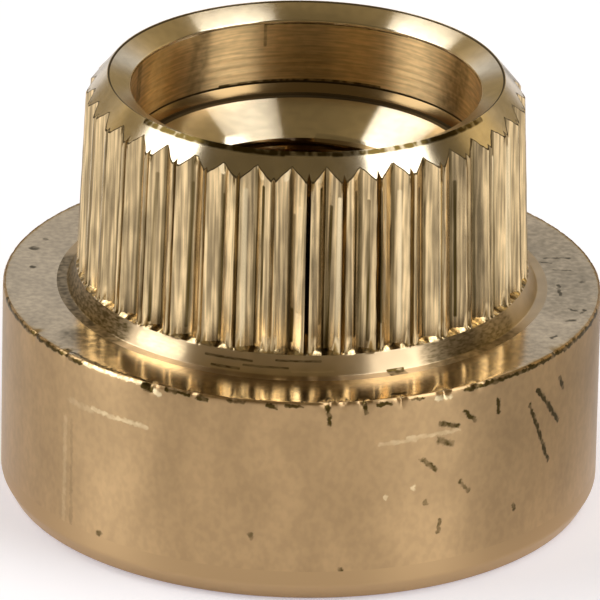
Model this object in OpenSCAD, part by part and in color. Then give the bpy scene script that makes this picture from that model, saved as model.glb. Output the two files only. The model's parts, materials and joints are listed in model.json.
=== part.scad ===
// Press-in tee nut, turned from brass bar in one piece.
//
// A thick plain head carries a spigot with a straight knurl. The knurled
// stretch tapers a little towards its mouth, so that it starts easily in a
// panel's hole and bites harder as it goes in. A short plain collar flares
// out from the knurl's foot to the shoulder. The mouth is counterbored, and
// a drill-point cone leads from there to the threaded bore through the head.
//
// Units are millimetres. The head's outer face lies on z = 0, the axis is Z,
// and the spigot points up. The bore is drawn at the thread's minor diameter.

/* [Head] */
// Diameter of the head
head_d = 12.7; // [11.7:0.1:20]
// Thickness of the head, from its outer face to the shoulder
head_h = 4.55; // [2:0.05:8]
// Height of the bevel round the outer face
face_bevel_h = 0.35; // [0.05:0.05:0.8]
// Width of the bevel round the outer face
face_bevel_w = 0.2; // [0.05:0.05:0.8]
// Edge break round the shoulder
shoulder_break = 0.08; // [0.02:0.01:0.3]

/* [Spigot] */
// Height of the spigot above the shoulder
spigot_h = 4.75; // [3.6:0.05:8]
// Diameter at the top of the plain collar, flush with the knurl's crests
collar_d = 9.6; // [9.4:0.02:10]
// Height of the plain collar
collar_h = 0.4; // [0.1:0.05:1]
// How far the collar flares out at its foot
collar_flare = 0.18; // [0:0.02:0.3]
// Height of the chamfer round the mouth, outside
mouth_chamfer_h = 0.55; // [0.2:0.05:1]
// Width of the chamfer round the mouth, outside
mouth_chamfer_w = 0.45; // [0.2:0.05:0.5]

/* [Knurl] */
// Number of grooves round the spigot
groove_count = 39; // [24:1:44]
// Angle of the first groove from the X axis, in degrees
groove_start = 8.2; // [0:0.1:9]
// Depth of each groove
groove_depth = 0.22; // [0.08:0.01:0.24]
// Angle between a groove's two flanks, in degrees
groove_angle = 110; // [70:1:115]
// Diameter over the crests below the mouth chamfer
crest_d_high = 9.3; // [9.2:0.02:9.4]

/* [Counterbore] */
// Diameter of the counterbore
counterbore_d = 7.4; // [6:0.1:7.6]
// Height of the countersink at the mouth
mouth_sink_h = 0.26; // [0.05:0.01:0.4]
// Depth from the mouth to the foot of the counterbore's wall
wall_depth = 1.72; // [1:0.02:2.4]
// Width of the corner left by the boring tool at the wall's foot
corner_w = 0.13; // [0.05:0.01:0.2]
// Height of that corner
corner_h = 0.2; // [0.05:0.01:0.3]

/* [Thread] */
// Minor diameter of the M6 thread
thread_minor_d = 5; // [4:0.05:5.2]
// Diameter of the thread's countersink at the head's outer face
thread_sink_d = 6.4; // [5.4:0.1:8]
// Angle of the cone between the counterbore and the thread, in degrees
cone_angle = 120; // [90:1:150]

/* [Hidden] */

$fn = 120;

// How far a cutter reaches past the surface that it cuts
overcut = 1;

head_r = head_d / 2;
collar_r = collar_d / 2;
crest_r_high = crest_d_high / 2;
counterbore_r = counterbore_d / 2;
bore_r = thread_minor_d / 2;

// Heights from the head's outer face
shoulder_z = head_h;
collar_z = shoulder_z + collar_h;
mouth_z = shoulder_z + spigot_h;
chamfer_z = mouth_z - mouth_chamfer_h;
rim_r = crest_r_high - mouth_chamfer_w;

// The counterbore's corners, from the mouth down
wall_top_z = mouth_z - mouth_sink_h;
wall_foot_z = mouth_z - wall_depth;
cone_top_z = wall_foot_z - corner_h;
cone_top_r = counterbore_r - corner_w;
cone_foot_z = cone_top_z - (cone_top_r - bore_r) / tan(cone_angle / 2);

// The thread's countersink has flanks at 45 degrees
thread_sink_r = thread_sink_d / 2;
thread_sink_h = thread_sink_r - bore_r;

// Each groove's root follows the crests' taper at the same depth
taper_angle = atan((collar_r - crest_r_high) / (chamfer_z - collar_z));

// The solid of revolution before knurling and boring
module turned_blank() {
    rotate_extrude()
        polygon([
            [0, 0],
            [head_r - face_bevel_w, 0],
            [head_r, face_bevel_h],
            [head_r, shoulder_z - shoulder_break],
            [head_r - shoulder_break, shoulder_z],
            [collar_r + collar_flare, shoulder_z],
            [collar_r, collar_z],
            [crest_r_high, chamfer_z],
            [rim_r, mouth_z],
            [0, mouth_z]
        ]);
}

// One V groove, cut from the collar up through the mouth chamfer
module knurl_groove() {
    flank_reach = 3 * groove_depth;
    flank_w = flank_reach * tan(groove_angle / 2);
    translate([collar_r - groove_depth, 0, collar_z])
        rotate([0, -taper_angle, 0])
            linear_extrude(height = spigot_h + overcut)
                polygon([
                    [0, 0],
                    [flank_reach, -flank_w],
                    [flank_reach, flank_w]
                ]);
}

module knurl() {
    for (i = [0 : groove_count - 1])
        rotate([0, 0, groove_start + i * 360 / groove_count])
            knurl_groove();
}

// Everything that is bored out along the axis, mouth to head
module stepped_bore() {
    mouth_slope = (rim_r - counterbore_r) / mouth_sink_h;
    rotate_extrude()
        polygon([
            [0, -overcut],
            [thread_sink_r + overcut, -overcut],
            [bore_r, thread_sink_h],
            [bore_r, cone_foot_z],
            [cone_top_r, cone_top_z],
            [counterbore_r, wall_foot_z],
            [counterbore_r, wall_top_z],
            [rim_r + overcut * mouth_slope, mouth_z + overcut],
            [0, mouth_z + overcut]
        ]);
}

module tee_nut() {
    color("#c4a676")
        difference() {
            turned_blank();
            knurl();
            stepped_bore();
        }
}

tee_nut();
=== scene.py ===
# %% [markdown]
# # A knurled tee nut, turned from brass bar
#
# The nut is one piece of metal. The main sizes are read from the part's box and from
# its mounts, and not typed again.

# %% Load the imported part
import json
import math

import bpy
import numpy as np
from mathutils import Matrix, Vector


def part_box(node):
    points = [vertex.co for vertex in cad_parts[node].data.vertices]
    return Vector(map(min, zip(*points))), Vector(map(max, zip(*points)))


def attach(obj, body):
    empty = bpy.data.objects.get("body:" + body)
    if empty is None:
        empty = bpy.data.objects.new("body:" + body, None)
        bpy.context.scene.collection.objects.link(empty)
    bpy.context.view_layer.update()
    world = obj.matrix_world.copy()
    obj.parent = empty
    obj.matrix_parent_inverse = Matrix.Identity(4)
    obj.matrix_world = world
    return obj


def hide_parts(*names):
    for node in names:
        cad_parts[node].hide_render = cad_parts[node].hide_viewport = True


MM = 0.001

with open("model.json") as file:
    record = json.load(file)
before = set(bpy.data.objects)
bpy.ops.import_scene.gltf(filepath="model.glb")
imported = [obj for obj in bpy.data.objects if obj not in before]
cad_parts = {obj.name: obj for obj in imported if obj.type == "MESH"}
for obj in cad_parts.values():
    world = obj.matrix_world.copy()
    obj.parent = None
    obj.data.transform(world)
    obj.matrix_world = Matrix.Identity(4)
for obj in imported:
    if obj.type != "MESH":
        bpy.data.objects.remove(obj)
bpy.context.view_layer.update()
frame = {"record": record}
nut_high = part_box("tee_nut")[1]
mounts = {mount["name"]: mount for mount in frame["record"]["mounts"]}

HEAD_R = nut_high.x / MM
MOUTH_Z = nut_high.z / MM
SHOULDER_Z = mounts["shoulder"]["pos_m"][2] / MM
COUNTERBORE_R = mounts["counterbore"]["dims"]["r_mm"]
BORE_R = mounts["thread"]["dims"]["r_mm"]
print(f"head radius {HEAD_R:.2f} mm, shoulder at {SHOULDER_Z:.2f} mm, mouth at {MOUTH_Z:.2f} mm")

# %% [markdown]
# ## The camera
#
# A small part is shot with a long lens from well away, so its circles stay true ellipses.
# The camera stands forty head radii off, looks down at about 23 degrees, and leans
# a degree to one side, as a hand-set camera does. Its axes are worked out as vectors,
# because that keeps the lean and the framing in plain sight.

# %% Camera
ELEVATION = math.radians(23.4)
LEAN = math.radians(1.2)
DISTANCE = 40 * HEAD_R * MM
LENS = 718
RIGHT_OF_CENTRE = 0.0070 * HEAD_R * MM
ABOVE_CENTRE = 0.0601 * HEAD_R * MM

back = Vector((0, -math.cos(ELEVATION), math.sin(ELEVATION)))
level_right = Vector((1, 0, 0))
level_up = back.cross(level_right)
right = math.cos(LEAN) * level_right + math.sin(LEAN) * level_up
up = math.cos(LEAN) * level_up - math.sin(LEAN) * level_right
shoulder_centre = Vector((0, 0, SHOULDER_Z * MM))
aim = shoulder_centre - RIGHT_OF_CENTRE * right - ABOVE_CENTRE * up

camera = bpy.data.objects.new("camera", bpy.data.cameras.new("camera"))
camera.data.lens = LENS
camera.data.sensor_width = 36
camera.data.clip_start = 0.01
camera.data.clip_end = 10
bpy.context.scene.collection.objects.link(camera)
turn = Matrix((right, up, back)).transposed()
camera.matrix_world = Matrix.Translation(aim + DISTANCE * back) @ turn.to_4x4()
bpy.context.scene.camera = camera
bpy.context.scene.view_settings.view_transform = "Standard"
print(f"camera {DISTANCE / MM:.0f} mm away, lens {LENS} mm")

# %% [markdown]
# ## The floor
#
# Polished metal shows its surroundings, so the floor matters twice: it is the pale
# ground behind the part, and it is what the side of the head reflects.
# One large round sheet does both. Its own colour is nearly white. A little glow is added
# for the rays that come from the camera or from a shiny surface, and it brings the ground
# up to white without putting more light on the part. The part's shadow still shows on it.
# Along both sides lies a strip of shade, deeper on the right: the round side of the head
# mirrors it, and so it darkens towards its edges. Past the strips the paper is bright
# again, which is what the far teeth of the knurl mirror. The strips lie outside the
# picture from the front, and show as grey bands when the camera goes round the part.

# %% Floor
FLOOR_R = 0.6
FLOOR_WHITE = 0.86
FLOOR_GLOW = 0.3
GLOW_COLOUR = (0.77, 0.79, 1, 1)
# Where the strips of shade start, are full, start to end and are over, in metres from the middle
SHADE_FROM = 0.0068
SHADE_FULL = 0.012
SHADE_END = 0.0145
SHADE_OVER = 0.018
SHADE_RIGHT = 0.2
SHADE_LEFT = 0.6


def seen_or_mirrored(nodes, links):
    """1 for camera, glossy and transmission rays, and 0 for the light that falls on things."""
    path = nodes.new("ShaderNodeLightPath").outputs
    either = combine(nodes, links, "MAXIMUM", path["Is Camera Ray"], path["Is Glossy Ray"])
    return combine(nodes, links, "MAXIMUM", either, path["Is Transmission Ray"])


def ramp_between(nodes, links, value, start, end, low, high):
    """A smooth step: low up to start, high from end on."""
    ramp = nodes.new("ShaderNodeMapRange")
    ramp.interpolation_type = "SMOOTHSTEP"
    ramp.inputs["From Min"].default_value = start
    ramp.inputs["From Max"].default_value = end
    ramp.inputs["To Min"].default_value = low
    ramp.inputs["To Max"].default_value = high
    links.new(value, ramp.inputs["Value"])
    return ramp.outputs["Result"]


def combine(nodes, links, operation, first, second):
    """One Math node on two values, each either a socket or a number."""
    node = nodes.new("ShaderNodeMath")
    node.operation = operation
    for socket, value in zip(node.inputs, (first, second)):
        if isinstance(value, (int, float)):
            socket.default_value = value
        else:
            links.new(value, socket)
    return node.outputs[0]


def white_floor():
    material = bpy.data.materials.new("white_floor")
    material.use_nodes = True
    nodes, links = material.node_tree.nodes, material.node_tree.links
    paper = nodes["Principled BSDF"]
    paper.inputs["Roughness"].default_value = 0.9
    paper.inputs["Specular IOR Level"].default_value = 0
    paper.inputs["Emission Color"].default_value = GLOW_COLOUR
    axes = nodes.new("ShaderNodeSeparateXYZ")
    links.new(nodes.new("ShaderNodeTexCoord").outputs["Object"], axes.inputs[0])
    to_right = ramp_between(nodes, links, axes.outputs["X"], SHADE_FROM, SHADE_FULL, 1, SHADE_RIGHT)
    to_left = ramp_between(nodes, links, axes.outputs["X"], -SHADE_FROM, -SHADE_FULL, 1, SHADE_LEFT)
    strips = combine(nodes, links, "MULTIPLY", to_right, to_left)
    from_middle = combine(nodes, links, "ABSOLUTE", axes.outputs["X"], 0)
    beyond = ramp_between(nodes, links, from_middle, SHADE_END, SHADE_OVER, 0, 1)
    shade = combine(nodes, links, "MAXIMUM", strips, beyond)
    white = combine(nodes, links, "MULTIPLY", shade, FLOOR_WHITE)
    links.new(white, paper.inputs["Base Color"])
    glow = combine(nodes, links, "MULTIPLY", seen_or_mirrored(nodes, links), FLOOR_GLOW)
    links.new(combine(nodes, links, "MULTIPLY", glow, shade), paper.inputs["Emission Strength"])
    return material


bpy.ops.mesh.primitive_circle_add(vertices=96, radius=FLOOR_R, fill_type="NGON")
floor = bpy.context.object
floor.name = "floor"
floor.data.materials.append(white_floor())
print(f"floor {2 * FLOOR_R:.1f} m across")

# %% [markdown]
# ## The surroundings
#
# Bright brass looks like brass because parts of it mirror something dark. A world of one
# even grey would flatten it. This world is a dim, warm brown overhead and in front, which
# keeps the dark reflections olive. Low down behind the part there is a paler wall, which
# the flat shoulder mirrors, with a brighter panel at each end of it. The side of the head
# mirrors the floor and the low front. All the parts are made with steps along the axes of
# the direction, where X, Y and Z each run from -1 to 1.

# %% World
DIM = 0.15
PAST_ZENITH = 0.2
BACK_WALL = 0.36
RIGHT_PANEL = 0.8
LEFT_PANEL = 0.8
LOW_FRONT = 0.25
# The colours of the dim part and of the paler wall
WARM = (1, 0.76, 0.38, 1)
COOL = (0.96, 1.03, 1.16, 1)

world = bpy.data.worlds.new("studio")
world.use_nodes = True
bpy.context.scene.world = world
world_nodes, world_links = world.node_tree.nodes, world.node_tree.links
direction = world_nodes.new("ShaderNodeTexCoord")
split = world_nodes.new("ShaderNodeSeparateXYZ")
world_links.new(direction.outputs["Generated"], split.inputs[0])


def sky_step(axis, start, end, low, high):
    """A smooth step along one axis of the world's directions."""
    return ramp_between(world_nodes, world_links, split.outputs[axis], start, end, low, high)


def sky_mix(operation, first, second):
    """One Math node among the world's nodes."""
    return combine(world_nodes, world_links, operation, first, second)


band = sky_mix("MULTIPLY", sky_step("Z", 0.75, 0.25, 0, 1), sky_step("Z", 0.24, 0.4, 0, 1))
back_wall = sky_mix("MULTIPLY", band, sky_step("Y", 0.5, 0.8, 0, 1))
to_the_right = sky_step("X", 0.4, 0.55, 0, RIGHT_PANEL)
right_panel = sky_mix("MULTIPLY", to_the_right, sky_step("Y", 0.1, 0.35, 0, 1))
to_the_left = sky_step("X", -0.4, -0.5, 0, LEFT_PANEL)
left_panel = sky_mix("MULTIPLY", to_the_left, sky_step("Y", 0.45, 0.6, 0, 1))
panels = sky_mix("MULTIPLY", band, sky_mix("ADD", right_panel, left_panel))
low_down = sky_step("Z", 0.34, 0.1, 0, LOW_FRONT)
low_front = sky_mix("MULTIPLY", low_down, sky_step("Y", -0.3, -0.8, 0, 1))
whole = sky_step("Y", 0.13, 0.21, DIM, DIM + PAST_ZENITH)
whole = sky_mix("ADD", whole, sky_mix("MULTIPLY", back_wall, BACK_WALL))
whole = sky_mix("ADD", whole, panels)
whole = sky_mix("ADD", whole, low_front)
world_links.new(whole, world_nodes["Background"].inputs["Strength"])
tint = world_nodes.new("ShaderNodeMix")
tint.data_type = "RGBA"
tint.inputs["A"].default_value = WARM
tint.inputs["B"].default_value = COOL
world_links.new(back_wall, tint.inputs["Factor"])
world_links.new(tint.outputs["Result"], world_nodes["Background"].inputs["Color"])
print(f"world from {DIM} in front to {DIM + PAST_ZENITH + BACK_WALL:.2f} low behind")

# %% [markdown]
# ## The lamps
#
# Two long softboxes stand left and right, above the part. Each gives the turned steps
# one tall highlight, and the gap between them stays dark: that gap is the dark band
# down the middle of the bore. Area lamps are used, since their size sets how wide
# a highlight is. The power is worked out from the brightness wanted of the lamp's face.

# %% Lamps
LAMP_DISTANCE = 0.3
LAMP_BRIGHTNESS = 2.7
LAMP_TARGET = Vector((0, 0, 0.007))


def softbox(name, towards, long_axis, length, width, brightness):
    face = bpy.data.lights.new(name, "AREA")
    face.shape = "RECTANGLE"
    face.size = length
    face.size_y = width
    face.energy = brightness * 4 * length * width
    lamp = bpy.data.objects.new(name, face)
    bpy.context.scene.collection.objects.link(lamp)
    out = Vector(towards).normalized()
    along = Vector(long_axis)
    along = (along - along.dot(out) * out).normalized()
    across = out.cross(along)
    frame_of_lamp = Matrix((along, across, out)).transposed()
    lamp.matrix_world = Matrix.Translation(LAMP_TARGET + LAMP_DISTANCE * out) @ frame_of_lamp.to_4x4()
    print(f"{name}: {length * 1000:.0f} x {width * 1000:.0f} mm, {face.energy:.2f} W")
    return lamp


softbox("softbox_right", (0.56, -0.24, 0.74), (-0.368, 0.784, 0.5), 0.38, 0.15, LAMP_BRIGHTNESS)
softbox("softbox_left", (-0.74, 0.03, 0.63), (0.513, 0.734, 0.444), 0.36, 0.145, LAMP_BRIGHTNESS)

# %% [markdown]
# ## The turned profile
#
# A lathe makes every surface here by moving a tool along one profile, so the mesh is made
# the same way: a list of radius and height pairs, each turned into a ring of points.
# Real corners are never quite sharp. A small arc at each one catches a thin line of
# light, which is most of what makes an edge look machined.

# %% Profile of the head
FACE_BEVEL_H = 0.35
FACE_BEVEL_W = 0.2
SHOULDER_BREAK = 0.08
THREAD_SINK_R = 3.2
EDGE_START_Z = SHOULDER_Z - 0.5


def rounded(corners, steps=3):
    """Points along the corners (radius, height, size of the arc), with an arc at each inner one."""
    points = [corners[0][:2]]
    for before, corner, after in zip(corners, corners[1:], corners[2:]):
        here = Vector(corner[:2])
        arrive = (Vector(before[:2]) - here).normalized()
        leave = (Vector(after[:2]) - here).normalized()
        for step in range(steps + 1):
            share = step / steps
            near = here + arrive * corner[2] * (1 - share) ** 2 + leave * corner[2] * share**2
            points.append((near.x, near.y))
    points.append(corners[-1][:2])
    return points


def between(start, end, count):
    """count points from start to end, without either end."""
    shares = [(i + 1) / (count + 1) for i in range(count)]
    return [(start[0] + (end[0] - start[0]) * t, start[1] + (end[1] - start[1]) * t) for t in shares]


face_profile = rounded(
    [
        (THREAD_SINK_R, 0, 0),
        (HEAD_R - FACE_BEVEL_W, 0, 0.05),
        (HEAD_R, FACE_BEVEL_H, 0.06),
        (HEAD_R, 0.7, 0),
    ]
)
side_profile = between((HEAD_R, 0.7), (HEAD_R, EDGE_START_Z), 6)
edge_profile = [(HEAD_R, EDGE_START_Z)]
edge_profile += between((HEAD_R, EDGE_START_Z), (HEAD_R, SHOULDER_Z - 0.14), 6)
edge_profile += rounded(
    [
        (HEAD_R, SHOULDER_Z - 0.14, 0),
        (HEAD_R, SHOULDER_Z - SHOULDER_BREAK * 0.5, 0.05),
        (HEAD_R - SHOULDER_BREAK * 0.5, SHOULDER_Z, 0.05),
        (HEAD_R - 0.16, SHOULDER_Z, 0),
    ]
)
edge_profile += between((HEAD_R - 0.16, SHOULDER_Z), (HEAD_R - 0.5, SHOULDER_Z), 4)
print(f"{len(face_profile + side_profile + edge_profile)} rings on the head")

# %% [markdown]
# The shoulder runs in to a short plain collar, which flares out at its foot. The flare
# tilts it towards the lamps, so the collar shows two bright patches with a dark gap
# between them. The bore is cut from the mouth down: a countersink, a wall, a small
# square corner with a tool's groove in it, and the cone that the drill's point left.

# %% Profile of the collar, the mouth and the bore
COLLAR_R = 4.8
COLLAR_Z = SHOULDER_Z + 0.4
COLLAR_FLARE = 0.18
CHAMFER_H = 0.55
CHAMFER_W = 0.45
CREST_R_HIGH = COLLAR_R - 0.15
CHAMFER_Z = MOUTH_Z - CHAMFER_H
RIM_R = CREST_R_HIGH - CHAMFER_W
SINK_FOOT_Z = MOUTH_Z - 0.26
WALL_FOOT_Z = MOUTH_Z - 1.72
CONE_TOP_Z = WALL_FOOT_Z - 0.2
CONE_TOP_R = COUNTERBORE_R - 0.13
CONE_SLOPE = math.tan(math.radians(60))
CONE_FOOT_Z = CONE_TOP_Z - (CONE_TOP_R - BORE_R) / CONE_SLOPE
MAJOR_R = 3.0
THREAD_TOP_Z = CONE_FOOT_Z + (MAJOR_R + 0.06 - BORE_R) / CONE_SLOPE
THREAD_TOP_R = MAJOR_R + 0.06
RIPPLE_SPACING = 0.185
RIPPLE_HEIGHT = 0.0022

shoulder_profile = [(HEAD_R - 0.5, SHOULDER_Z)]
shoulder_profile += between((HEAD_R - 0.5, SHOULDER_Z), (COLLAR_R + COLLAR_FLARE + 0.1, SHOULDER_Z), 5)
collar_profile = rounded(
    [
        (COLLAR_R + COLLAR_FLARE + 0.1, SHOULDER_Z, 0),
        (COLLAR_R + COLLAR_FLARE, SHOULDER_Z, 0.025),
        (COLLAR_R + 0.016, COLLAR_Z - 0.035, 0),
    ]
) + [(COLLAR_R, COLLAR_Z)]
lip_profile = [(RIM_R - 0.012, MOUTH_Z - 0.006), (RIM_R - 0.05, MOUTH_Z - 0.026)]
sink_profile = rounded(
    [
        (RIM_R - 0.05, MOUTH_Z - 0.026, 0),
        (COUNTERBORE_R, SINK_FOOT_Z, 0.03),
        (COUNTERBORE_R, SINK_FOOT_Z - 0.06, 0),
    ]
)[1:]
wall_profile = between((COUNTERBORE_R, SINK_FOOT_Z - 0.06), (COUNTERBORE_R, WALL_FOOT_Z + 0.05), 48)
wall_middle = (SINK_FOOT_Z + WALL_FOOT_Z) / 2
wall_profile = [
    (radius + RIPPLE_HEIGHT * math.sin(2 * math.pi * z / RIPPLE_SPACING) * (z < wall_middle), z)
    for radius, z in wall_profile
]
foot_profile = [(COUNTERBORE_R, WALL_FOOT_Z + 0.05), (COUNTERBORE_R + 0.01, WALL_FOOT_Z + 0.025)]
corner_profile = [(COUNTERBORE_R - 0.01, WALL_FOOT_Z), (CONE_TOP_R + 0.03, CONE_TOP_Z + 0.045)]
tool_groove = [(CONE_TOP_R + 0.015, CONE_TOP_Z - 0.02), (CONE_TOP_R - 0.05, CONE_TOP_Z - 0.055)]
cone_profile = [(CONE_TOP_R - 0.07, CONE_TOP_Z - 0.07 / CONE_SLOPE)]
cone_profile += between(cone_profile[0], (THREAD_TOP_R, THREAD_TOP_Z), 4)
print(f"cone from {CONE_TOP_Z:.2f} mm down to {CONE_FOOT_Z:.2f} mm")

# %% [markdown]
# ## The knurl
#
# A hardened wheel rolls straight grooves into the spigot. Each is a wide V, 0.22 mm deep.
# The metal that it pushes aside rises on both sides and nearly meets over each crest,
# so that a crest is two thin ridges with a seam between them. Rolling is never even, so
# each groove gets its own small error in depth, width and place, from a seeded draw,
# and fine streaks run up the flanks.
#
# The columns of the mesh follow the grooves: points are crowded at a groove's root and
# round its crests, and are sparse between, so the flanks stay crisp with few faces.

# %% Knurl
GROOVES = 39
GROOVE_START = 8.2
GROOVE_DEPTH = 0.22
GROOVE_HALF_WIDTH = 3.75
SEAM_DEPTH = 0.085
SEAM_HALF_WIDTH = 0.6
PITCH = 360 / GROOVES
COLUMN_OFFSETS = [0, 0.35, 1.1, 1.9, 2.7, 3.3, 3.7, 4.05, 4.35]

draw = np.random.default_rng(7)
half_tooth = PITCH / 2
offsets = sorted({-x for x in COLUMN_OFFSETS} | set(COLUMN_OFFSETS) | {half_tooth})
tooth_of_column = np.repeat(np.arange(GROOVES), len(offsets))
offset_of_column = np.tile(offsets, GROOVES)
angles = np.radians(GROOVE_START + tooth_of_column * PITCH + offset_of_column)
COLUMNS = len(angles)
crest_of_column = (tooth_of_column + (offset_of_column > 0)) % GROOVES


def soft_corner(value, softness):
    """value where it is above 0 and 0 where it is below, with the corner rounded."""
    return (value + np.sqrt(value**2 + softness**2)) / 2


def groove_depths():
    """How deep the knurl is at each column, in mm."""
    deepest = GROOVE_DEPTH * draw.normal(1, 0.08, GROOVES)[tooth_of_column]
    width = GROOVE_HALF_WIDTH * draw.normal(1, 0.05, GROOVES)[tooth_of_column]
    offset = np.abs(offset_of_column - draw.normal(0, 0.25, GROOVES)[tooth_of_column])
    flank = soft_corner(deepest * (1 - offset / width), 0.012)
    flank = 0.97 * deepest - soft_corner(0.97 * deepest - flank, 0.008)
    from_crest = half_tooth - np.abs(offset_of_column)
    seam_depth = SEAM_DEPTH * np.clip(draw.normal(1, 0.4, GROOVES), 0.1, 2)[crest_of_column]
    seam = seam_depth * np.clip(1 - from_crest / SEAM_HALF_WIDTH, 0, 1)
    streaks = draw.normal(0, 0.006, COLUMNS)
    return np.clip(flank + seam + streaks + 0.008, 0.004, None)


depths = groove_depths()
taper = (COLLAR_R - CREST_R_HIGH) / (CHAMFER_Z - COLLAR_Z)
chamfer_slope = CHAMFER_W / CHAMFER_H
arch_z = CHAMFER_Z + depths / (chamfer_slope - taper)
print(f"{GROOVES} grooves, {COLUMNS} columns, arches up to {arch_z.max():.2f} mm")

# %% [markdown]
# ## The thread
#
# The tap cuts a helical groove with flanks at 60 degrees. The bore's wall is drawn as
# one height field: for every angle and height the radius is whichever is larger,
# the drilled shape or the thread's own cut. So the thread runs out into the
# drill cone above and into the countersink below with no cutting of meshes.

# %% Thread
THREAD_PITCH = 1.0
ROOT_FLAT = 0.125
THREAD_ROWS_PER_TURN = 14
THREAD_PHASE = 0.66


def drilled_radius(z):
    """Radius of the drilled bore with its cone and its countersink, at height z."""
    return max(BORE_R, BORE_R + (z - CONE_FOOT_Z) * CONE_SLOPE, THREAD_SINK_R - z)


def threaded_radii(z, around):
    """Radii of the finished bore at height z, for each angle in around."""
    turns = around / (2 * math.pi)
    phase = np.mod(z / THREAD_PITCH - turns - THREAD_PHASE, 1)
    from_root = np.abs(phase - 0.5) * THREAD_PITCH
    flank = (from_root - ROOT_FLAT / 2) / math.tan(math.radians(30))
    depth = MAJOR_R - BORE_R - soft_corner(flank, 0.05)
    cut = BORE_R + soft_corner(depth, 0.03)
    return np.maximum(cut, drilled_radius(z))


print(f"thread of {THREAD_PITCH} mm pitch, {2 * MAJOR_R:.0f} mm over its roots")

# %% [markdown]
# ## Rings into a mesh
#
# Each ring of points is joined to the next by a strip of four-sided faces, and the last
# ring is joined to the first, so the skin is closed. The bore needs fewer columns than
# the knurl, so at the mouth one strip steps down from three columns to one.
# Every strip also says which finish its faces have.

# %% Helpers for rings and strips
FINISHES = [
    "turned_face",
    "bar_skin",
    "faced_shoulder",
    "turned_collar",
    "rolled_knurl",
    "bright_cut",
    "painted_shade_band",
    "bored_wall",
    "drilled_cone",
    "tapped_thread",
]
FACE, SKIN, SHOULDER, COLLAR, KNURL, CUT, SHADE_BAND, BORED, CONE, THREAD = range(len(FINISHES))
inner_angles = angles[::3]

points = []
faces = []
face_finish = []


def ring(radii, heights, around):
    """Adds one ring and returns its first point's number and how many points it has."""
    first = sum(len(p) for p in points)
    count = len(around)
    radii = np.broadcast_to(radii, count)
    heights = np.broadcast_to(heights, count)
    points.append(np.stack([radii * np.cos(around), radii * np.sin(around), heights], axis=1))
    return first, count


def strip(lower, upper, finish):
    """Joins two rings of the same count."""
    start, count = lower
    step = np.arange(count)
    following = (step + 1) % count
    quads = np.stack([start + step, start + following, upper[0] + following, upper[0] + step], axis=1)
    faces.extend(quads.tolist())
    face_finish.extend([finish] * count)


def step_down(many, few, finish, turned_over=False):
    """Joins a ring to one with a third of its points."""
    for i in range(few[1]):
        a, b, c = (many[0] + 3 * i + j for j in range(3))
        d = many[0] + (3 * i + 3) % many[1]
        near, far = few[0] + i, few[0] + (i + 1) % few[1]
        new = [[a, b, near], [b, c, far, near], [c, d, far]]
        faces.extend([face[::-1] for face in new] if turned_over else new)
        face_finish.extend([finish] * 3)


# %% [markdown]
# Handling has dented the edge of the head. Each nick is listed with its place round the
# edge, its width and its depth, and pulls the edge's points in a little. The rest of the
# edge has a fine unevenness, as an edge that was only lightly broken does.

# %% Nicks in the head's edge
# Degrees from the front towards +X, half width in degrees, depth in mm
NICKS = [
    (-62, 1.1, 0.05),
    (-51, 0.6, 0.06),
    (-39, 6, 0.025),
    (-29.5, 0.7, 0.09),
    (-21, 0.5, 0.06),
    (-12, 0.6, 0.03),
    (5.2, 0.5, 0.11),
    (8.6, 0.4, 0.05),
    (12.2, 0.5, 0.07),
    (19.6, 0.6, 0.06),
    (28.5, 1.0, 0.07),
    (35.7, 0.5, 0.05),
    (58, 1.2, 0.03),
]
NICK_REACH = 0.16
from_front = (np.degrees(angles) + 90 + 180) % 360 - 180


def nicked(radius, height):
    """Radii and heights of one ring near the head's edge, dented by the nicks."""
    uneven = np.abs(draw.normal(0, 0.005, COLUMNS))
    dent = uneven.copy()
    for place, half_width, depth in NICKS:
        dent += depth * np.exp(-(((from_front - place) / half_width) ** 2))
    from_edge = math.hypot(HEAD_R - radius, SHOULDER_Z - height)
    dent *= math.exp(-((from_edge / NICK_REACH) ** 2))
    return radius - dent * 0.8, height - dent * 0.6


print(f"{len(NICKS)} nicks, the deepest {max(nick[2] for nick in NICKS)} mm")

# %% [markdown]
# Now the rings are laid in order: up the outside, over the mouth, and down the bore. Up at
# the mouth each column of the knurl stops exactly at its own height on the chamfer's cone,
# and that gives the pointed arches.

# %% Outside rings
KNURL_ROWS = 12
RUN_OUT = 0.07

rings = []
for profile, finish in [(face_profile, FACE), (side_profile, SKIN)]:
    rings += [(ring(radius, height, angles), finish) for radius, height in profile]
for radius, height in edge_profile:
    rings.append((ring(*nicked(radius, height), angles), SKIN if height < SHOULDER_Z else SHOULDER))
for profile, finish in [(shoulder_profile, SHOULDER), (collar_profile, COLLAR)]:
    rings += [(ring(radius, height, angles), finish) for radius, height in profile]
for row in range(KNURL_ROWS):
    share = row / (KNURL_ROWS - 1)
    heights = COLLAR_Z + RUN_OUT + (arch_z - COLLAR_Z - RUN_OUT) * share
    rough = draw.normal(0, 0.0025, COLUMNS) * (0 < share < 1)
    rings.append((ring(COLLAR_R - taper * (heights - COLLAR_Z) - depths - rough, heights, angles), KNURL))
# The second ring is just above the first, so the arches get a thin outline of painted shade
for share, finish in [(0.001, KNURL), (0.07, SHADE_BAND), (0.5, CUT), (1, CUT)]:
    heights = arch_z + (MOUTH_Z - arch_z) * share
    rings.append((ring(RIM_R + (MOUTH_Z - heights) * chamfer_slope, heights, angles), finish))
for lower, upper in zip(rings, rings[1:]):
    strip(lower[0], upper[0], upper[1])
print(f"{len(rings)} rings outside")
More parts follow.
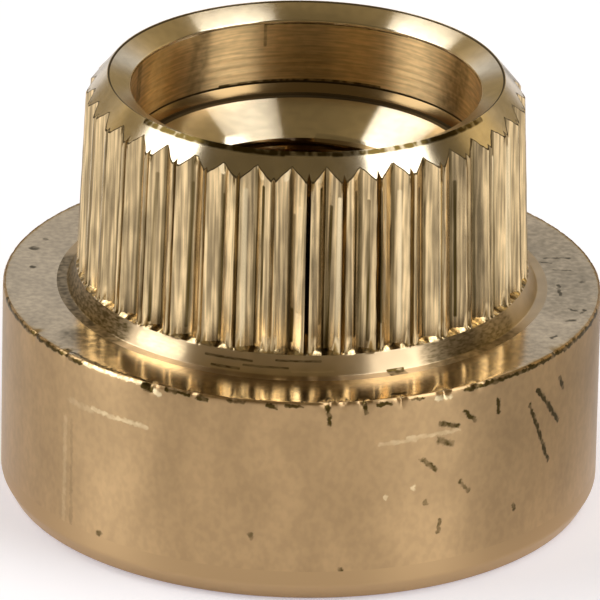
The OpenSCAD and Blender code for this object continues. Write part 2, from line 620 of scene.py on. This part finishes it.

# %% Inside rings
# The small square corner is as dull as the thread. The mouth's inner lip, the wall's foot and the tool's
# groove in the corner get bands of painted shade
inner = [(ring(radius, height, inner_angles), SHADE_BAND) for radius, height in lip_profile]
for profile, finish in [
    (sink_profile, CUT),
    (wall_profile, BORED),
    (foot_profile, SHADE_BAND),
    (corner_profile, THREAD),
    (tool_groove, SHADE_BAND),
    (cone_profile, CONE),
]:
    inner += [(ring(radius, height, inner_angles), finish) for radius, height in profile]
thread_rows = int(THREAD_ROWS_PER_TURN * THREAD_TOP_Z / THREAD_PITCH)
for row in range(thread_rows + 1):
    height = THREAD_TOP_Z * (1 - row / thread_rows)
    finish = CONE if height > CONE_FOOT_Z + 0.02 else THREAD
    inner.append((ring(threaded_radii(height, inner_angles), height, inner_angles), finish))
for lower, upper in zip(inner, inner[1:]):
    strip(lower[0], upper[0], upper[1])
step_down(rings[-1][0], inner[0][0], CUT)
step_down(rings[0][0], inner[-1][0], FACE, turned_over=True)
print(f"{len(inner)} rings inside")

# %% Mesh
mesh = bpy.data.meshes.new("turned_nut")
vertices = np.concatenate(points)
mesh.from_pydata((vertices * MM).tolist(), [], faces)
nut = bpy.data.objects.new("turned_nut", mesh)
bpy.context.scene.collection.objects.link(nut)
mesh.polygons.foreach_set("use_smooth", [True] * len(mesh.polygons))
mesh.set_sharp_from_angle(angle=math.radians(38))
print(f"{len(vertices)} points, {len(faces)} faces")

# %% [markdown]
# ## The brass
#
# Brass is a metal, so its colour sits in the reflection: metallic is 1 and the base
# colour tints what it mirrors. What tells one surface from another is how it was cut.
# A turned surface has fine rings round the axis, which draw every highlight out along
# the profile, so its roughness is anisotropic, about a tangent that runs round Z.

# %% Finishes
DULL_BRASS = (0.55, 0.375, 0.195)
FACED_BRASS = (0.64, 0.52, 0.36)
FRESH_BRASS = (0.6, 0.46, 0.29)
BORED_BRASS = (0.84, 0.6, 0.3)
BRIGHT_BRASS = (0.68, 0.585, 0.43)
ROLLED_BRASS = (0.7, 0.53, 0.29)
# Dark brass for the thread deep in the bore: cutting oil, and painted shade
OILY_SHADED_BRASS = (0.28, 0.19, 0.09)
# Thin bands of painted shade: round the arches, at the mouth's inner lip, at the wall's foot and in the
# tool's groove
PAINTED_SHADE_COLOUR = (0.065, 0.045, 0.02)
# The colour of dark strokes: tarnish in scratches, and painted shade
TARNISH_AND_SHADE = (0.085, 0.058, 0.016)
# The colour of pale strokes: painted highlights
PAINTED_HIGHLIGHT = (0.95, 0.78, 0.48)
# Roughness, how far it is drawn out across the cutter's rings, and the colour
FINISH_OF = {
    "turned_face": (0.4, 0.9, DULL_BRASS),
    "bar_skin": (0.36, 0.95, DULL_BRASS),
    "faced_shoulder": (0.17, 0.6, FACED_BRASS),
    "turned_collar": (0.3, 1.0, FRESH_BRASS),
    "rolled_knurl": (0.25, 0.0, ROLLED_BRASS),
    "bright_cut": (0.19, 0.95, BRIGHT_BRASS),
    "painted_shade_band": (0.5, 0.0, PAINTED_SHADE_COLOUR),
    "bored_wall": (0.39, 1.0, BORED_BRASS),
    "drilled_cone": (0.14, 0.95, BRIGHT_BRASS),
    "tapped_thread": (0.2, 0.0, OILY_SHADED_BRASS),
}


def brass(name):
    """A brass with its plain finish. Returns the material, its nodes, its links and its shader."""
    roughness, drawn_out, colour = FINISH_OF[name]
    material = bpy.data.materials.new(name)
    material.use_nodes = True
    nodes, links = material.node_tree.nodes, material.node_tree.links
    metal = nodes["Principled BSDF"]
    metal.inputs["Base Color"].default_value = (*colour, 1)
    metal.inputs["Metallic"].default_value = 1
    metal.inputs["Roughness"].default_value = roughness
    metal.inputs["Anisotropic"].default_value = drawn_out
    metal.inputs["Anisotropic Rotation"].default_value = 0.25
    if drawn_out:
        lay = nodes.new("ShaderNodeTangent")
        lay.direction_type = "RADIAL"
        lay.axis = "Z"
        links.new(lay.outputs["Tangent"], metal.inputs["Tangent"])
    return material, nodes, links, metal


made = {name: brass(name) for name in FINISHES}
for name in FINISHES:
    mesh.materials.append(made[name][0])
mesh.polygons.foreach_set("material_index", face_finish)
print(", ".join(FINISHES))

# %% [markdown]
# ## Cloudy colour
#
# Bare brass that has been handled is never one even colour. A soft noise moves the shade a
# little up and down, at one or two sizes: broad clouds, and a fine grain like the tool's
# own chatter. On the knurl the noise is stretched along the axis, so it becomes streaks.
# On the counterbore's wall it is squashed instead, into fine level lines.

# %% Clouds, grain and streaks
# Size of a cloud in mm, how dark and how pale it goes, and how far it is stretched along Z
CLOUDS_OF = {
    "bar_skin": [(0.9, 0.92, 1.06, 1.6), (0.15, 0.95, 1.05, 1.3)],
    "faced_shoulder": [(0.7, 0.9, 1.1, 1.0), (0.13, 0.86, 1.13, 1.0)],
    "turned_collar": [(0.5, 0.9, 1.08, 1.0)],
    "rolled_knurl": [(0.07, 0.5, 1.3, 40.0), (0.2, 0.82, 1.15, 3.0)],
    "bright_cut": [(0.25, 0.93, 1.04, 1.0)],
    "bored_wall": [(0.9, 0.82, 1.1, 0.06), (0.25, 0.92, 1.06, 0.4)],
    "drilled_cone": [(0.25, 0.93, 1.03, 0.4)],
}


def cloud(nodes, links, place, size, low, high, stretch):
    """A shade between low and high that changes over size millimetres."""
    # The noise hardly ever leaves this span
    rarely_below, rarely_above = 0.28, 0.72
    squash = nodes.new("ShaderNodeVectorMath")
    squash.operation = "MULTIPLY"
    squash.inputs[1].default_value = (1, 1, 1 / stretch)
    links.new(place, squash.inputs[0])
    noise = nodes.new("ShaderNodeTexNoise")
    noise.inputs["Scale"].default_value = 1 / (size * MM)
    noise.inputs["Detail"].default_value = 1
    links.new(squash.outputs[0], noise.inputs["Vector"])
    return ramp_between(nodes, links, noise.outputs["Fac"], rarely_below, rarely_above, low, high)


def tinted(nodes, links, shade, colour):
    """colour times a shade that varies."""
    scale = nodes.new("ShaderNodeVectorMath")
    scale.operation = "SCALE"
    scale.inputs[0].default_value = colour
    links.new(shade, scale.inputs["Scale"])
    return scale.outputs[0]


colour_of = {}
place_of = {}
for name, clouds in CLOUDS_OF.items():
    material, nodes, links, metal = made[name]
    place = nodes.new("ShaderNodeTexCoord").outputs["Object"]
    shade = None
    for settings in clouds:
        layer = cloud(nodes, links, place, *settings)
        shade = layer if shade is None else combine(nodes, links, "MULTIPLY", shade, layer)
    colour = tinted(nodes, links, shade, FINISH_OF[name][2])
    links.new(colour, metal.inputs["Base Color"])
    colour_of[name] = colour
    place_of[name] = place
print(f"clouded: {', '.join(CLOUDS_OF)}")

# %% [markdown]
# ## Scratches, marks, painted highlights and painted shade
#
# The marks, and the painted highlights and painted shade, are listed one by one, as short
# straight strokes. A stroke's ends are an angle round the axis, from the front, and a distance
# along the profile: the height on the side of the head and on the knurl, and the radius on the
# shoulder. The surface is unrolled flat in the shader, the distance to each stroke is worked
# out, and the colour goes towards tarnish and painted shade, or towards a painted highlight,
# where it is small. This keeps the strokes sharp whatever the mesh. A fine noise then breaks
# them up, as real marks are. A very wide stroke makes a broad patch of painted shade or of
# painted reflection.

# %% Marks, painted highlights and painted shade on the side and on the shoulder
# From (angle, height) to (angle, height), half width in mm, how strong
SIDE_DARK = [
    ((49.4, 3.64), (55.7, 2.14), 0.07, 0.9),
    ((51.7, 3.90), (58.9, 2.93), 0.08, 0.95),
    ((59.2, 3.89), (60.5, 3.60), 0.07, 0.8),
    ((27.5, 3.83), (31.2, 3.71), 0.08, 0.9),
    ((27.6, 3.45), (30.2, 3.32), 0.1, 0.7),
    ((32.9, 3.99), (35.2, 3.74), 0.08, 0.85),
    ((40.7, 4.05), (41.0, 3.76), 0.07, 0.85),
    ((23.9, 3.08), (26.9, 2.80), 0.07, 0.75),
    ((32.2, 2.40), (34.1, 2.15), 0.07, 0.7),
    ((24.8, 2.11), (24.9, 2.05), 0.08, 0.7),
    ((28.0, 1.63), (27.7, 1.34), 0.06, 0.65),
    ((-41.0, 0.79), (-40.6, 0.79), 0.09, 0.7),
    ((-8.8, 1.50), (-8.6, 1.42), 0.07, 0.5),
    ((8.3, 0.74), (8.5, 0.72), 0.07, 0.6),
    ((45.4, 1.48), (45.6, 1.40), 0.07, 0.65),
    ((44.9, 0.46), (45.2, 0.50), 0.08, 0.65),
    ((-21.4, 0.50), (-21.4, 0.33), 0.07, 0.5),
    ((-48.6, 3.1), (-48.6, 0.5), 0.06, 0.16),
    ((5.3, 4.45), (5.8, 4.06), 0.07, 0.95),
    ((12.3, 4.52), (12.6, 4.28), 0.06, 0.85),
    # The next two long lines along the head's edge are painted shade
    ((-80, 4.49), (-46.5, 4.49), 0.06, 0.9),
    ((33, 4.48), (80, 4.48), 0.065, 0.95),
    ((-30.9, 4.46), (-29.5, 4.42), 0.1, 1.0),
    ((-26, 4.5), (-21.5, 4.48), 0.055, 0.9),
    ((-19.5, 4.47), (-17.8, 4.45), 0.07, 1.0),
    ((-13.5, 4.49), (-10.6, 4.48), 0.05, 0.8),
    ((-6, 4.47), (-4.6, 4.43), 0.07, 1.0),
    ((-2.6, 4.48), (0.6, 4.46), 0.045, 0.8),
    ((14.8, 4.45), (17.4, 4.45), 0.06, 1.0),
    ((21.5, 4.49), (24, 4.48), 0.045, 0.8),
]
# Painted highlights on the side: turned lines and dents in the edge that catch the lamps, and a few
# glints
SIDE_PAINTED_HIGHLIGHTS = [
    ((-49.2, 3.54), (-43.0, 3.52), 0.1, 0.16),
    ((-43.0, 3.56), (-29.9, 3.55), 0.07, 0.42),
    ((15.4, 3.55), (22.5, 3.56), 0.06, 0.28),
    ((21.0, 3.62), (31.9, 3.6), 0.06, 0.3),
    ((-50.5, 3.1), (-50.8, 0.4), 0.08, 0.16),
    ((22.2, 2.49), (22.4, 2.45), 0.07, 0.5),
    ((16.7, 2.34), (16.9, 2.28), 0.06, 0.45),
    ((-45.5, 4.49), (-30.5, 4.5), 0.045, 0.8),
    ((-28.6, 4.42), (-27.4, 4.36), 0.08, 0.9),
    ((26.6, 4.42), (29.6, 4.4), 0.07, 0.9),
]
# From (angle, radius) to (angle, radius)
TOP_DARK = [
    ((-104.7, 5.88), (-104.9, 5.96), 0.12, 0.95),
    ((-95.0, 5.76), (-95.2, 5.77), 0.1, 0.9),
    ((-110.2, 5.86), (-110.4, 5.87), 0.09, 0.7),
    ((106.8, 5.40), (105.6, 5.92), 0.06, 0.85),
    ((99.8, 5.46), (99.4, 5.78), 0.06, 0.8),
    ((104.8, 5.23), (103.8, 5.46), 0.05, 0.7),
    ((93.0, 5.95), (93.2, 5.98), 0.09, 0.85),
    ((91.4, 5.43), (85.7, 5.49), 0.055, 0.8),
    ((79.0, 5.74), (77.8, 5.93), 0.06, 0.8),
    ((79.0, 6.10), (77.1, 6.05), 0.06, 0.7),
    ((73.5, 6.02), (72.2, 5.88), 0.07, 0.75),
    ((63.0, 5.92), (64.1, 5.95), 0.07, 0.75),
    # The next two lines by the head's edge are painted shade
    ((-52, 6.2), (-31, 6.22), 0.05, 0.8),
    ((18.3, 6.1), (21.0, 6.12), 0.06, 0.8),
]
# Painted reflections on the shoulder beside the collar
TOP_PAINTED_REFLECTIONS = [
    ((-43, 5.22), (-31, 5.22), 0.3, 0.6),
    ((9, 5.25), (27, 5.3), 0.28, 0.45),
    ((-60, 5.35), (-57, 5.35), 0.3, 0.4),
]
# The shaded line just outside the mouth's inner edge
RIM_DARK = [
    ((-52, 4.235), (-6, 4.235), 0.06, 1.0),
    ((-6, 4.225), (8, 4.225), 0.05, 0.8),
    ((8, 4.235), (60, 4.235), 0.055, 0.95),
]
# Broad, soft painted shade on the shoulder: in the corner by the collar, on its right and in front
SHOULDER_PAINTED_SHADE = [
    ((-57, 5.5), (-51, 5.5), 0.6, 0.6),
    ((-47, 5.6), (-46, 5.6), 0.5, 0.55),
    ((34, 5.4), (41, 5.4), 0.5, 0.12),
    ((80, 5.6), (118, 5.6), 1.0, 0.3),
    ((-26, 5.95), (12, 5.95), 0.4, 0.1),
]
print(f"{len(SIDE_DARK) + len(SIDE_PAINTED_HIGHLIGHTS)} strokes on the side, {len(TOP_DARK)} on the shoulder")

# %% Painted shade and highlights on the collar, and in the counterbore
# From (angle, height) to (angle, height), half width in mm, how strong
# Painted shade beside the collar's two bright patches, under the knurl's teeth and in the corner at its
# foot
COLLAR_PAINTED_SHADE = [
    ((-100, 4.72), (-51, 4.72), 0.5, 0.62),
    ((35, 4.72), (60, 4.72), 0.5, 0.5),
    ((-24, 4.8), (-12, 4.79), 0.035, 0.6),
    ((-14, 4.7), (-3, 4.7), 0.03, 0.55),
    ((-6, 4.84), (5, 4.84), 0.03, 0.6),
    ((-22, 4.62), (-15, 4.62), 0.035, 0.6),
    ((21.5, 4.57), (25.5, 4.57), 0.035, 1.0),
]
# Painted highlights on the collar
COLLAR_PAINTED_HIGHLIGHTS = [
    ((-2, 4.64), (8, 4.64), 0.03, 0.2),
    ((-43, 4.75), (-31, 4.75), 0.2, 0.5),
]
# Painted shade in the counterbore: lines at its top and at its foot, and broad dark bands on its wall
BORE_PAINTED_SHADE = [
    ((-180, 8.99), (-166, 8.99), 0.045, 0.9),
    ((145, 8.99), (180, 8.99), 0.045, 0.85),
    ((-180, 7.67), (-150, 7.67), 0.04, 0.8),
    ((155, 7.68), (180, 7.68), 0.035, 0.7),
    ((-143, 8.9), (-140, 7.7), 0.35, 0.3),
    ((-108, 9.0), (-106, 8.3), 0.2, 0.4),
    ((117, 8.9), (125, 7.7), 0.5, 0.35),
    ((-166, 8.95), (-166, 8.5), 0.05, 0.4),
]
# A broad painted highlight on the counterbore's wall
BORE_PAINTED_HIGHLIGHT = [((-124, 8.8), (-119, 7.9), 0.5, 0.3)]
print(f"{len(COLLAR_PAINTED_SHADE + COLLAR_PAINTED_HIGHLIGHTS)} marks on the collar, {len(BORE_PAINTED_SHADE + BORE_PAINTED_HIGHLIGHT)} in the bore")

# %% [markdown]
# On the knurl a few hard lines run the whole height of a tooth: dark lines, and pale
# lines that are painted highlights. The last five pale strokes are short: they are
# painted glints at the points of the arches.

# %% Lines and painted highlights on the knurl
# From (angle, height) to (angle, height), half width in mm, how strong
KNURL_DARK = [
    ((-10.6, 8.6), (-10.4, 5.2), 0.05, 0.8),
    ((-2.4, 8.0), (-2.4, 5.9), 0.045, 0.6),
    ((-2.5, 5.9), (-2.5, 5.2), 0.055, 0.98),
    ((1.5, 8.4), (1.5, 5.4), 0.045, 0.8),
    ((4.6, 8.6), (4.6, 5.6), 0.045, 0.8),
    ((7.3, 8.2), (6.7, 5.0), 0.05, 0.95),
    ((14.0, 8.5), (13.8, 5.3), 0.045, 0.75),
    ((17.2, 8.3), (17.2, 5.2), 0.045, 0.75),
    ((20.4, 8.5), (20.3, 5.6), 0.045, 0.7),
    ((-42.2, 8.4), (-42.6, 5.1), 0.05, 0.7),
    ((-31.0, 8.4), (-31.4, 5.2), 0.05, 0.65),
    ((-21.5, 8.3), (-21.7, 5.2), 0.05, 0.7),
    ((31.5, 8.4), (31.3, 5.2), 0.05, 0.7),
    ((44.0, 8.3), (44.0, 5.3), 0.05, 0.7),
]
# Painted highlights down the teeth, and painted glints at the arches' points
KNURL_PAINTED_HIGHLIGHTS = [
    ((-75.0, 8.4), (-74.5, 5.6), 0.1, 0.8),
    ((-38.4, 8.2), (-38.0, 5.0), 0.06, 0.5),
    ((-15.4, 8.5), (-15.2, 5.0), 0.07, 0.75),
    ((-0.8, 8.2), (-0.8, 5.9), 0.05, 0.5),
    ((-0.8, 5.8), (-0.8, 4.98), 0.085, 1.0),
    ((9.4, 8.4), (9.2, 5.0), 0.07, 0.75),
    ((26.0, 8.4), (26.0, 5.1), 0.06, 0.6),
    ((38.0, 8.4), (37.7, 5.2), 0.06, 0.6),
    ((61.0, 8.4), (60.5, 5.4), 0.08, 0.7),
    ((66.0, 8.5), (65.5, 5.4), 0.09, 0.8),
    ((71.5, 8.5), (71.0, 5.6), 0.09, 0.8),
    ((-22.6, 8.97), (-22.1, 8.8), 0.08, 1.0),
    ((-12.0, 8.98), (-11.2, 8.8), 0.08, 1.0),
    ((-4.2, 8.97), (-4.7, 8.8), 0.08, 1.0),
    ((4.9, 8.97), (4.4, 8.8), 0.08, 1.0),
    ((14.2, 8.96), (13.6, 8.82), 0.08, 1.0),
]
print(f"{len(KNURL_DARK) + len(KNURL_PAINTED_HIGHLIGHTS)} lines on the knurl")

# %% Shader helpers for strokes
# Size of the wobble and how far it reaches, in mm
SHAKE_SIZE = 0.11
SHAKE = 0.14


def unrolled(strokes, radius):
    """The strokes with their angles turned into millimetres round a circle."""
    return [
        ((math.radians(start[0]) * radius, start[1]), (math.radians(end[0]) * radius, end[1]), *rest)
        for start, end, *rest in strokes
    ]


def flat_place(nodes, links, place, radius, along_profile):
    """The place on the unrolled surface, in mm: round the axis, then the height or the radius."""
    axes = nodes.new("ShaderNodeSeparateXYZ")
    links.new(place, axes.inputs[0])
    to_front = combine(nodes, links, "MULTIPLY", axes.outputs["Y"], -1)
    around = combine(nodes, links, "ARCTAN2", axes.outputs["X"], to_front)
    flat = nodes.new("ShaderNodeCombineXYZ")
    links.new(combine(nodes, links, "MULTIPLY", around, radius), flat.inputs["X"])
    if along_profile == "height":
        distance = axes.outputs["Z"]
    else:
        level = nodes.new("ShaderNodeVectorMath")
        level.operation = "MULTIPLY"
        level.inputs[1].default_value = (1, 1, 0)
        links.new(place, level.inputs[0])
        length = nodes.new("ShaderNodeVectorMath")
        length.operation = "LENGTH"
        links.new(level.outputs[0], length.inputs[0])
        distance = length.outputs["Value"]
    links.new(combine(nodes, links, "MULTIPLY", distance, 1 / MM), flat.inputs["Y"])
    return flat.outputs[0]


def vector_step(nodes, links, operation, first, second):
    """One VectorMath node on a socket and on a socket or a plain triple."""
    node = nodes.new("ShaderNodeVectorMath")
    node.operation = operation
    links.new(first, node.inputs[0])
    if isinstance(second, tuple):
        node.inputs[1].default_value = second
    else:
        links.new(second, node.inputs[1])
    return node


def stroke(nodes, links, place, start, end, half_width, strength):
    """strength on the stroke from start to end, fading to 0 at its edge."""
    along = Vector((end[0] - start[0], end[1] - start[1], 0))
    length = along.length
    along.normalize()
    from_start = vector_step(nodes, links, "SUBTRACT", place, (start[0], start[1], 0)).outputs[0]
    travelled = vector_step(nodes, links, "DOT_PRODUCT", from_start, tuple(along)).outputs["Value"]
    held = nodes.new("ShaderNodeClamp")
    held.inputs["Max"].default_value = length
    links.new(travelled, held.inputs["Value"])
    nearest = nodes.new("ShaderNodeVectorMath")
    nearest.operation = "SCALE"
    nearest.inputs[0].default_value = tuple(along)
    links.new(held.outputs[0], nearest.inputs["Scale"])
    apart = vector_step(nodes, links, "DISTANCE", from_start, nearest.outputs[0]).outputs["Value"]
    return ramp_between(nodes, links, apart, half_width, half_width * 0.35, 0, strength)


def all_strokes(nodes, links, place, strokes):
    """The strongest of the strokes at every place."""
    strongest = None
    for start, end, half_width, strength in strokes:
        one = stroke(nodes, links, place, start, end, half_width, strength)
        strongest = one if strongest is None else combine(nodes, links, "MAXIMUM", strongest, one)
    return strongest


def shaken(nodes, links, flat, place):
    """The unrolled place moved about a little, so that a stroke's outline is ragged."""
    noise = nodes.new("ShaderNodeTexNoise")
    noise.inputs["Scale"].default_value = 1 / (SHAKE_SIZE * MM)
    links.new(place, noise.inputs["Vector"])
    centred = vector_step(nodes, links, "SUBTRACT", noise.outputs["Color"], (0.5, 0.5, 0.5)).outputs[0]
    scaled = vector_step(nodes, links, "MULTIPLY", centred, (SHAKE, SHAKE, 0)).outputs[0]
    return vector_step(nodes, links, "ADD", flat, scaled).outputs[0]


def towards(nodes, links, colour, goal, share):
    """colour, moved towards goal by share."""
    mix = nodes.new("ShaderNodeMix")
    mix.data_type = "RGBA"
    mix.inputs["B"].default_value = (*goal, 1)
    links.new(colour, mix.inputs["A"])
    links.new(share, mix.inputs["Factor"])
    return mix.outputs["Result"]


# %% [markdown]
# Each finish takes its own strokes. The pale ones go on first, so that a dark stroke
# that crosses a painted highlight stays dark. Dirt and painted shade also lie in the root of
# every groove of the knurl and in the seam on its crests: a ping-pong of the distance round
# the spigot is 0 at each root and half a pitch at each crest, so two ramps on it draw all the lines.

# %% Dirt and painted shade in the knurl
PITCH_MM = math.radians(PITCH) * COLLAR_R
FIRST_ROOT_MM = math.radians((GROOVE_START + 90) % PITCH) * COLLAR_R
ROOT_DIRT_AND_SHADE = 0.72
SEAM_DIRT_AND_SHADE = 0.45
# Half widths of the lines in mm: darkest within the first, and clean past the second
ROOT_LINE = (0.035, 0.075)
SEAM_LINE = (0.03, 0.07)


def knurl_dirt_and_shade(nodes, links, flat):
    """How dark the knurl is painted, for dirt and painted shade: most at a groove's root, and some in the
    seam on each crest.
    """
    axes = nodes.new("ShaderNodeSeparateXYZ")
    links.new(flat, axes.inputs[0])
    shifted = combine(nodes, links, "SUBTRACT", axes.outputs["X"], FIRST_ROOT_MM)
    from_root = combine(nodes, links, "PINGPONG", shifted, PITCH_MM / 2)
    root = ramp_between(nodes, links, from_root, *ROOT_LINE, ROOT_DIRT_AND_SHADE, 0)
    crest = PITCH_MM / 2
    seam = ramp_between(nodes, links, from_root, crest - SEAM_LINE[1], crest - SEAM_LINE[0], 0, SEAM_DIRT_AND_SHADE)
    return combine(nodes, links, "MAXIMUM", root, seam)


# %% Strokes into the finishes
BREAK_SIZE = 0.15
BREAK_LOW = 0.7
BREAK_HIGH = 1.5
# Finish, radius, what a stroke is measured along, the pale and the dark strokes, and how far
# the breaks are stretched along Z
# Each finish's marks, painted highlights and painted shade
WEAR_AND_PAINTED_LIGHT = [
    ("bar_skin", HEAD_R, "height", SIDE_PAINTED_HIGHLIGHTS, SIDE_DARK, 1),
    ("faced_shoulder", HEAD_R, "radius", TOP_PAINTED_REFLECTIONS, TOP_DARK + SHOULDER_PAINTED_SHADE, 1),
    ("turned_collar", COLLAR_R, "height", COLLAR_PAINTED_HIGHLIGHTS, COLLAR_PAINTED_SHADE, 0.3),
    ("bored_wall", COUNTERBORE_R, "height", BORE_PAINTED_HIGHLIGHT, BORE_PAINTED_SHADE, 1),
    ("bright_cut", RIM_R, "radius", [], RIM_DARK, 20),
    ("rolled_knurl", COLLAR_R, "height", KNURL_PAINTED_HIGHLIGHTS, KNURL_DARK, 20),
]
for name, radius, along_profile, pale_strokes, dark_strokes, stretch in WEAR_AND_PAINTED_LIGHT:
    material, nodes, links, metal = made[name]
    place = place_of[name]
    flat = flat_place(nodes, links, place, radius, along_profile)
    broken = cloud(nodes, links, place, BREAK_SIZE, BREAK_LOW, BREAK_HIGH, stretch)
    colour = colour_of[name]
    if name == "rolled_knurl":
        colour = towards(nodes, links, colour, TARNISH_AND_SHADE, knurl_dirt_and_shade(nodes, links, flat))
    elif name in ("bar_skin", "faced_shoulder"):
        flat = shaken(nodes, links, flat, place)
    for strokes, goal in [(pale_strokes, PAINTED_HIGHLIGHT), (dark_strokes, TARNISH_AND_SHADE)]:
        if strokes:
            share = all_strokes(nodes, links, flat, unrolled(strokes, radius))
            share = combine(nodes, links, "MULTIPLY", share, broken)
            colour = towards(nodes, links, colour, goal, share)
    links.new(colour, metal.inputs["Base Color"])
    print(f"{name}: {len(nodes)} nodes")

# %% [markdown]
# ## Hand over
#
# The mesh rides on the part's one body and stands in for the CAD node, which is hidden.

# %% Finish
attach(nut, "root")
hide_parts("tee_nut")
